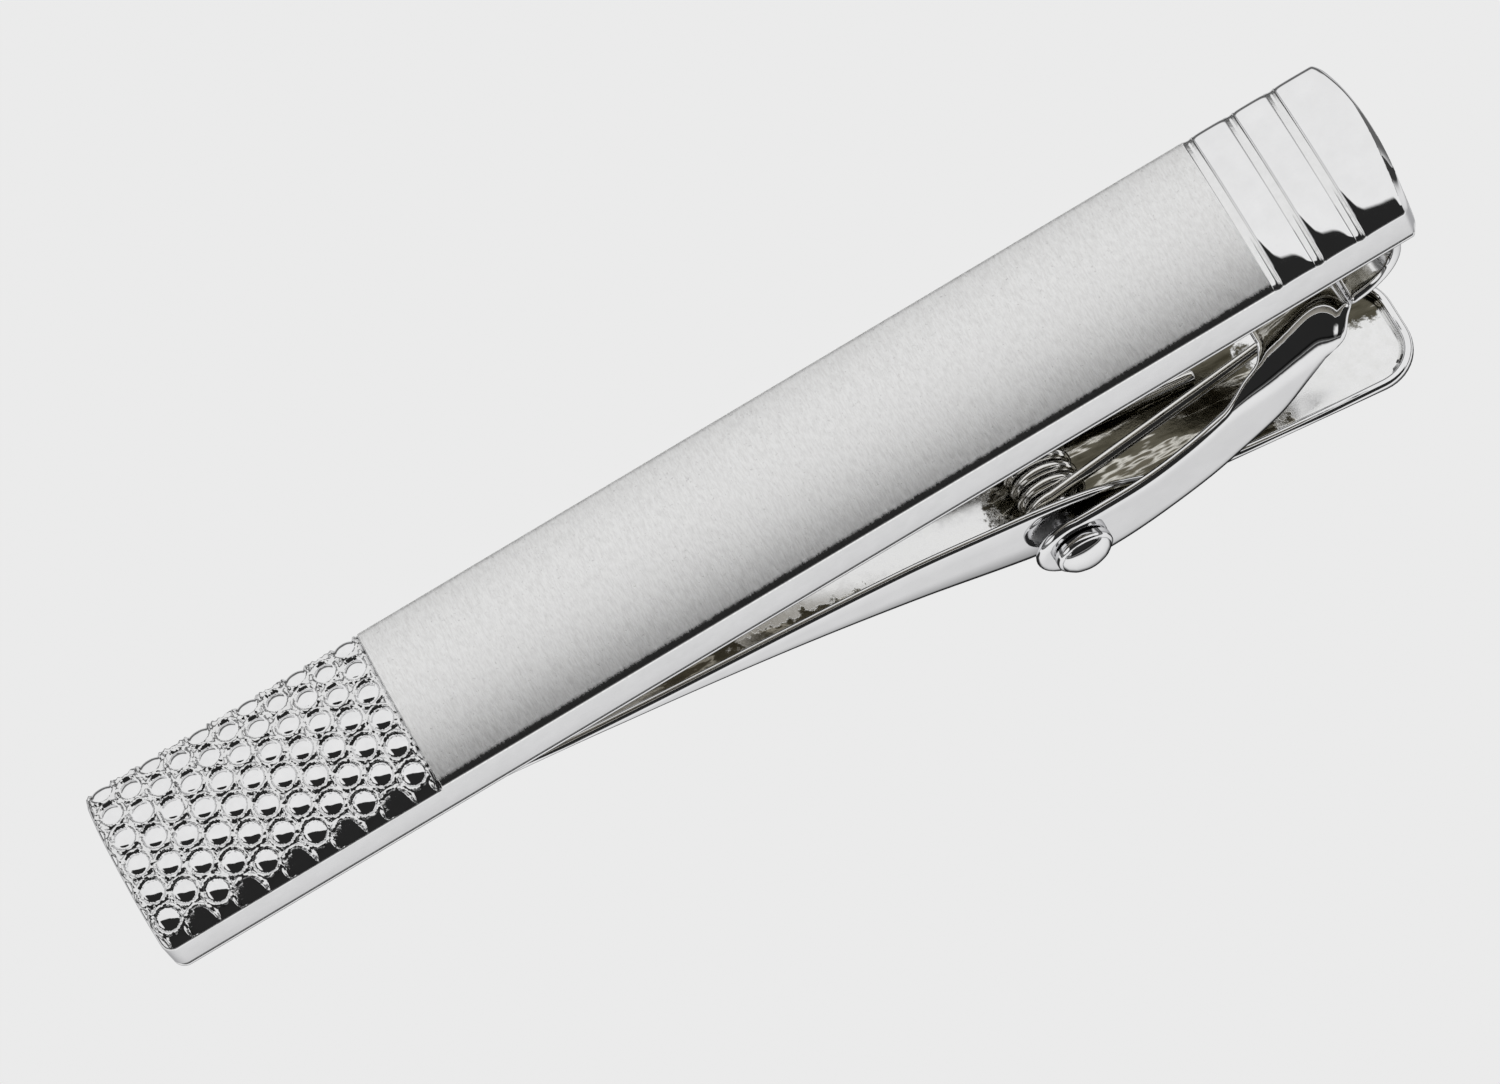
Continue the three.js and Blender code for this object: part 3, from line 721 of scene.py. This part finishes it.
def make_bracket():
    inner, foot = bracket_edges()
    ends = from_rim(3.0, SHEET / 2, 7)
    share = np.r_[ends / 2, (1 - ends[::-1] / 2)[1:]][None, :, None]
    patch = inner[:, None, :] * (1 - share) + foot[:, None, :] * share
    quads = grid_faces(*patch.shape[:2])
    verts, faces = [], []
    for side in (1, -1):
        grid = saddle(patch[..., 0], patch[..., 1] * side + side * 1e-9)
        start = sum(len(v) for v in verts)
        verts.append(grid.reshape(-1, 3))
        faces += (quads[:, ::side] + start).tolist()
    # round the bend and along the soldered tab
    centre_depth = WEB - BEND_RADIUS
    line = [(BEND_X + BEND_RADIUS * math.sin(t), centre_depth + BEND_RADIUS * math.cos(t))
            for t in np.linspace(0, math.pi, 40)]
    tab_depth = centre_depth - BEND_RADIUS
    line += [(x, tab_depth) for x in np.linspace(BEND_X, TAB_START + 0.3, 14)[1:]]
    half = NECK * (1 - share[0, ::-1, 0])
    wide = np.r_[-half[:0:-1], half]
    strip = np.array([[(x, y, z_at(d)) for y in wide] for x, d in line])
    start = sum(len(v) for v in verts)
    verts.append(strip.reshape(-1, 3))
    faces += (grid_faces(len(line), len(wide))[:, ::-1] + start).tolist()
    metals = [sheet_metal, bracket_inside]
    piece = sheet_piece("clip_bracket", np.vstack(verts), faces, SHEET, metals)
    settle(piece, "bar", "hinge_bracket")


# ---- Lever ----

LEVER_SHEET = 0.4
INSET = LEVER_SHEET / 2  # from the tray's outside to its middle surface

# By place along the clip: depth of the tray's floor and of its rim, its half width, and the radius
# of its bend.
lever_floor = [(-26.2, 0.58), (-22, 1.85), (-10.6, 4.2), (-2.4, 6.8), (9, 11.35), (12, 12.15),
               (19.6, 13.5), (27.9, 15.4)]
lever_edge = [(-26.2, 0.12), (-22, 1.39), (-10.6, 3.6), (8.5, 6.6), (13, 8.2), (18, 12.3),
              (27.9, 14.55)]
lever_half = [(-26.2, 2.4), (-10, 2.6), (4, 2.72), (9.5, 2.95), (13, 2.95), (17, 2.78), (20, 2.75),
              (27.9, 2.85)]
lever_bend = [(-26.2, 0.25), (-10.6, 0.35), (4, 1.0), (13, 1.2), (20, 0.5), (27.9, 0.5)]
TIP_RADIUS = 0.8
PADDLE_RADIUS = 2.1


def tray_outline():
    """Half of the tray's outline, from the middle of its tip to the middle of its paddle.

    Each row is x, y, the outward direction, and the place on the centre line it is joined to.
    """
    tip, end = lever_lo[0] + INSET, lever_hi[0] - INSET
    end_corner = PADDLE_RADIUS - INSET
    side_start, side_end = tip + TIP_RADIUS, end - end_corner
    tip_half, end_half = (along(lever_half, x) - INSET for x in (tip, side_end))
    places = ([side_start, side_start + 6, side_end - 6, side_end],
              [tip + 3.6, side_start + 6, side_end - 6, end - 2.6])
    outline = []
    for y in np.linspace(0, tip_half - TIP_RADIUS, 5)[:-1]:
        outline.append((tip, y, -1, 0, tip + 0.9 + 0.5 * y))
    for a in np.linspace(0, math.pi / 2, 8)[:-1]:
        x = side_start - TIP_RADIUS * math.cos(a)
        y = tip_half - TIP_RADIUS + TIP_RADIUS * math.sin(a)
        outline.append((x, y, -math.cos(a), math.sin(a), tip + 1.7 + 1.2 * a))
    for x in np.linspace(side_start, side_end, 150):
        outline.append((x, along(lever_half, x) - INSET, 0, 1, np.interp(x, *places)))
    for a in np.linspace(0, math.pi / 2, 14)[1:]:
        x = side_end + end_corner * math.sin(a)
        y = end_half - end_corner + end_corner * math.cos(a)
        outline.append((x, y, math.sin(a), math.cos(a), end - 2.6 + 0.9 * a / (math.pi / 2)))
    for y in np.linspace(end_half - end_corner, 0, 6)[1:]:
        outline.append((end, y, 1, 0, end - 1.7))
    return outline


def tray_row(x, y, out_x, out_y, centre_x):
    """Points down the wall, round the bend and in over the floor to the centre line."""
    rim = float(along(lever_edge, x))
    floor_depth = float(along(lever_floor, x)) - INSET
    radius = min(float(along(lever_bend, x)) - INSET, max(floor_depth - rim, 0.05))
    radius = max(radius, 0.2)
    drop = max(floor_depth - radius - rim, 0.02)
    row = [(x, y, z_at(floor_depth - radius - drop * (1 - s))) for s in from_rim(drop, INSET, 4)]
    for a in np.linspace(0, math.pi / 2, 8)[1:]:
        bend_x = x - out_x * radius * (1 - math.cos(a))
        bend_y = y - out_y * radius * (1 - math.cos(a))
        row.append((bend_x, bend_y, z_at(floor_depth - radius + radius * math.sin(a))))
    for s in np.linspace(0, 1, 10)[1:]:
        floor_x, floor_y = bend_x + (centre_x - bend_x) * s, bend_y * (1 - s)
        inner = float(along(lever_floor, floor_x)) - INSET
        outer = floor_depth if out_x == 0 else inner
        share = float(step(0, 0.35, s))
        row.append((floor_x, floor_y, z_at(inner * share + (1 - share) * outer)))
    return row


def make_lever():
    grid = np.array([tray_row(*point) for point in tray_outline()])
    quads = grid_faces(*grid.shape[:2])
    verts = [(grid * [1, side, 1]).reshape(-1, 3) for side in (1, -1)]
    faces = quads.tolist() + (quads[:, ::-1] + len(verts[0])).tolist()
    metals = [sheet_metal, tray_inside]
    piece = sheet_piece("clip_tray", np.vstack(verts), faces, LEVER_SHEET, metals)
    settle(piece, "lever", "clip_lever")


# ---- Rivet ----

RIVET_GAP = 0.06  # between an ear and the head's seat
SHANK = 0.7
# (radius, height above the seat)
RIVET_HEAD = [(0.0, 0.92), (0.35, 0.9), (0.7, 0.82), (0.98, 0.68), (1.12, 0.56), (1.16, 0.5),
              (1.14, 0.46), (1.24, 0.44), (1.3, 0.38), (1.31, 0.2), (1.3, 0.04), (1.24, 0)]
RIVET_SEGMENTS = 64


def make_rivet():
    seat = bracket_hi[1] + RIVET_GAP
    half = [(r, seat + up) for r, up in RIVET_HEAD] + [(SHANK, seat), (SHANK, 0.0)]
    profile = half + [(r, -y) for r, y in reversed(half[:-1])]
    turn = np.linspace(0, 2 * math.pi, RIVET_SEGMENTS, endpoint=False)
    verts = [(PIN_X + r * math.cos(t), y, PIN_Z + r * math.sin(t))
             for r, y in profile for t in turn]
    faces = grid_faces(len(profile), RIVET_SEGMENTS, closed=True)
    joined, loops = merge(verts, faces[:, ::-1].tolist(), 1e-4)
    piece = mesh_piece("hinge_rivet", joined, loops, [rivet_metal], smooth_angle=50)
    settle(piece, "bar", "hinge_pin")


# ---- Torsion spring ----

WIRE = 0.27  # radius
WIRE_SEGMENTS = 16
WIRE_DOME = 0.12  # how far a cut end bulges
COIL = 1.25
COIL_HALF = 1.75
TURNS = 5.5
# Shares of the coil: where it is cut in two, and by how much the two overlap.
COIL_SPLIT, SPLIT_OVERLAP = 0.86, 0.02


def coil_point(t):
    turn = math.pi / 2 + t * TURNS * 2 * math.pi
    y = -COIL_HALF + 2 * COIL_HALF * t
    return np.array([PIN_X + COIL * math.cos(turn), y, PIN_Z + COIL * math.sin(turn)])


def wire(name, path, body):
    """A round wire along a row of points, with domed ends."""
    path = np.array(path)
    tangents = np.gradient(path, axis=0)
    tangents /= np.linalg.norm(tangents, axis=1)[:, None]
    turn = np.linspace(0, 2 * math.pi, WIRE_SEGMENTS, endpoint=False)[:, None]
    side = np.cross(tangents[0], [0, 1, 0.3])
    circles = []
    for tangent in tangents:
        side = side - tangent * side.dot(tangent)
        side /= np.linalg.norm(side)
        circles.append(np.cos(turn) * side + np.sin(turn) * np.cross(tangent, side))
    dome = [(max(WIRE * math.sin(a + 0.02), 0.004), WIRE_DOME * math.cos(a))
            for a in (0.0, 0.35, 0.7, 1.05)]
    first, last = tangents[0], tangents[-1]
    rings = [path[0] - first * shift + radius * circles[0] for radius, shift in dome]
    rings += [point + WIRE * circle for point, circle in zip(path, circles)]
    rings += [path[-1] + last * shift + radius * circles[-1] for radius, shift in dome[::-1]]
    verts = np.array(rings).reshape(-1, 3)
    faces = grid_faces(len(rings), WIRE_SEGMENTS, closed=True).tolist()
    faces.append(list(range(WIRE_SEGMENTS))[::-1])
    faces.append([(len(rings) - 1) * WIRE_SEGMENTS + i for i in range(WIRE_SEGMENTS)])
    piece = mesh_piece(name, verts, [f[::-1] for f in faces], [wire_metal], smooth_angle=60)
    settle(piece, body, "torsion_spring")


def make_spring():
    upper_end = np.array([22.3, -1.7, z_at(6.36)])
    lower_end = np.array([18.9, 1.5, z_at(12.55)])
    start, finish = coil_point(0), coil_point(1)
    upper = [upper_end + (start - upper_end) * s for s in np.linspace(0, 1, 30)[:-1]]
    upper += [coil_point(t) for t in np.linspace(0, COIL_SPLIT, 260)]
    lower = [coil_point(t) for t in np.linspace(COIL_SPLIT - SPLIT_OVERLAP, 1, 46)]
    lower += [finish + (lower_end - finish) * s for s in np.linspace(0, 1, 24)[1:]]
    wire("spring_coil_and_upper_leg", upper, "bar")
    wire("spring_lower_leg", lower, "lever")


make_bar()
make_bracket()
make_lever()
make_rivet()
make_spring()

# ---- Floor and light ----

WHITE = (1, 1, 1, 1)
PAPER = (0.83, 0.83, 0.83, 1)  # what the camera sees round the clip
FLOOR_DROP = 6.0
FLOOR_REACH = 900
FLOOR_LEVEL = 0.83
CLIP_HALF_LENGTH = 26 * MM

# The tent's dark field, in degrees down from straight ahead of the clip and to each side.
DARK_TOP, DARK_FOOT = (7.5, 9.5), (80, 92)
DARK_LEFT, DARK_RIGHT = (-48, -42), (52, 58)
DARK_SLANT = -0.45
# The dim band at the horizon, in degrees above it.
HORIZON_FOOT, HORIZON_TOP = (-4, 2), (8, 16)
TENT_LEVEL, DARK_DEPTH, HORIZON_DEPTH = 0.85, 0.83, 0.85


def paper_to_the_camera(n, kind, strength):
    """White of this strength to everything but the camera, which sees even pale paper."""
    shaded = n.add(kind, {"Strength": strength}, in_Color=WHITE)
    even = n.add(kind, in_Color=PAPER, in_Strength=1.0)
    seen = n.add("LightPath").outputs["Is Camera Ray"]
    return n.add("MixShader", {0: seen, 1: shaded.outputs[0], 2: even.outputs[0]}).outputs[0]


def make_floor():
    """A pale floor under the clip. Reflections see a painted contact shadow close under the clip,
    and the floor dark far away.
    """
    z = (lever_lo[2] - FLOOR_DROP) * MM
    reach = FLOOR_REACH * MM
    corners = [(x * reach, y * reach, z) for x, y in ((-1, -1), (1, -1), (1, 1), (-1, 1))]
    mesh = bpy.data.meshes.new("floor")
    mesh.from_pydata(corners, [], [(0, 1, 2, 3)])
    floor = bpy.data.objects.new("floor", mesh)
    bpy.context.scene.collection.objects.link(floor)
    paper, n = start_material("pale_floor")
    parts = n.add("SeparateXYZ", {"Vector": n.add("TexCoord").outputs["Object"]}).outputs
    past_end = n.maths("SUBTRACT", n.maths("ABSOLUTE", parts["X"]), CLIP_HALF_LENGTH)
    past_end = n.maths("MAXIMUM", past_end, 0.0)
    squares = [n.maths("POWER", distance, 2.0) for distance in (past_end, parts["Y"])]
    away = n.maths("SQRT", n.maths("ADD", *squares))
    # painted contact shadow: the floor's glow, seen in reflections, drops to almost nothing within
    # a few millimetres of the clip
    near = n.fit(away, 4 * MM, 9 * MM, 0.03, FLOOR_LEVEL)
    far = n.fit(away, 50 * MM, 120 * MM, 1.0, 0.05)
    strength = n.maths("MULTIPLY", near, far)
    n.add("OutputMaterial", {"Surface": paper_to_the_camera(n, "Emission", strength)})
    mesh.materials.append(paper)


def make_world():
    """A pale light tent, dark where the camera looks in, with a dim line at the horizon."""
    world = bpy.data.worlds.new("tent")
    bpy.context.scene.world = world
    world.use_nodes = True
    n = Nodes(world.node_tree)
    parts = n.add("SeparateXYZ", {"Vector": n.add("TexCoord").outputs["Generated"]}).outputs
    dx, dy, dz = parts["X"], parts["Y"], parts["Z"]
    degrees = 180 / math.pi
    forward = n.maths("MULTIPLY", n.maths("ARCTAN2", n.maths("MULTIPLY", dy, -1.0), dz), degrees)
    sideways = n.maths("MULTIPLY", n.maths("ARCSINE", dx), degrees)
    slanted = n.maths("MULTIPLY_ADD", sideways, DARK_SLANT, forward)
    past_top, above_foot = n.fit(slanted, *DARK_TOP, 0, 1), n.fit(forward, *DARK_FOOT, 1, 0)
    left, right = n.fit(sideways, *DARK_LEFT, 0, 1), n.fit(sideways, *DARK_RIGHT, 1, 0)
    dark = n.maths("MULTIPLY", past_top, above_foot)
    dark = n.maths("MULTIPLY", dark, n.maths("MULTIPLY", left, right))
    height = n.maths("MULTIPLY", n.maths("ARCSINE", dz), degrees)
    rising, falling = n.fit(height, *HORIZON_FOOT, 0, 1), n.fit(height, *HORIZON_TOP, 1, 0)
    horizon = n.maths("MULTIPLY", rising, falling)
    level = n.maths("SUBTRACT", TENT_LEVEL, n.maths("MULTIPLY", dark, DARK_DEPTH))
    dimming = n.maths("SUBTRACT", 1.0, n.maths("MULTIPLY", horizon, HORIZON_DEPTH))
    level = n.maths("MULTIPLY", level, dimming)
    n.add("OutputWorld", {"Surface": paper_to_the_camera(n, "Background", level)})


make_floor()
make_world()

# ---- Camera ----

AZIMUTH, ELEVATION, ROLL = 2.4, 65.0, 32.95
DISTANCE = 383.2
LENS_MM = 222.3
LOOK = Vector((-0.715, -0.572, -3.07))


def make_camera():
    a, e, r = (math.radians(angle) for angle in (AZIMUTH, ELEVATION, ROLL))
    back = Vector((math.sin(a) * math.cos(e), -math.cos(a) * math.cos(e), math.sin(e)))
    right = Vector((math.cos(a), math.sin(a), 0))
    up = back.cross(right)
    right, up = right * math.cos(r) - up * math.sin(r), up * math.cos(r) + right * math.sin(r)
    data = bpy.data.cameras.new("camera")
    data.lens = LENS_MM
    data.sensor_width = 36
    data.clip_start, data.clip_end = 0.01, 10
    camera = bpy.data.objects.new("camera", data)
    bpy.context.scene.collection.objects.link(camera)
    turn = Matrix((right, up, back)).transposed().to_4x4()
    camera.matrix_world = Matrix.Translation((LOOK + back * DISTANCE) * MM) @ turn
    bpy.context.scene.camera = camera


make_camera()
bpy.context.scene.view_settings.view_transform = "Standard"
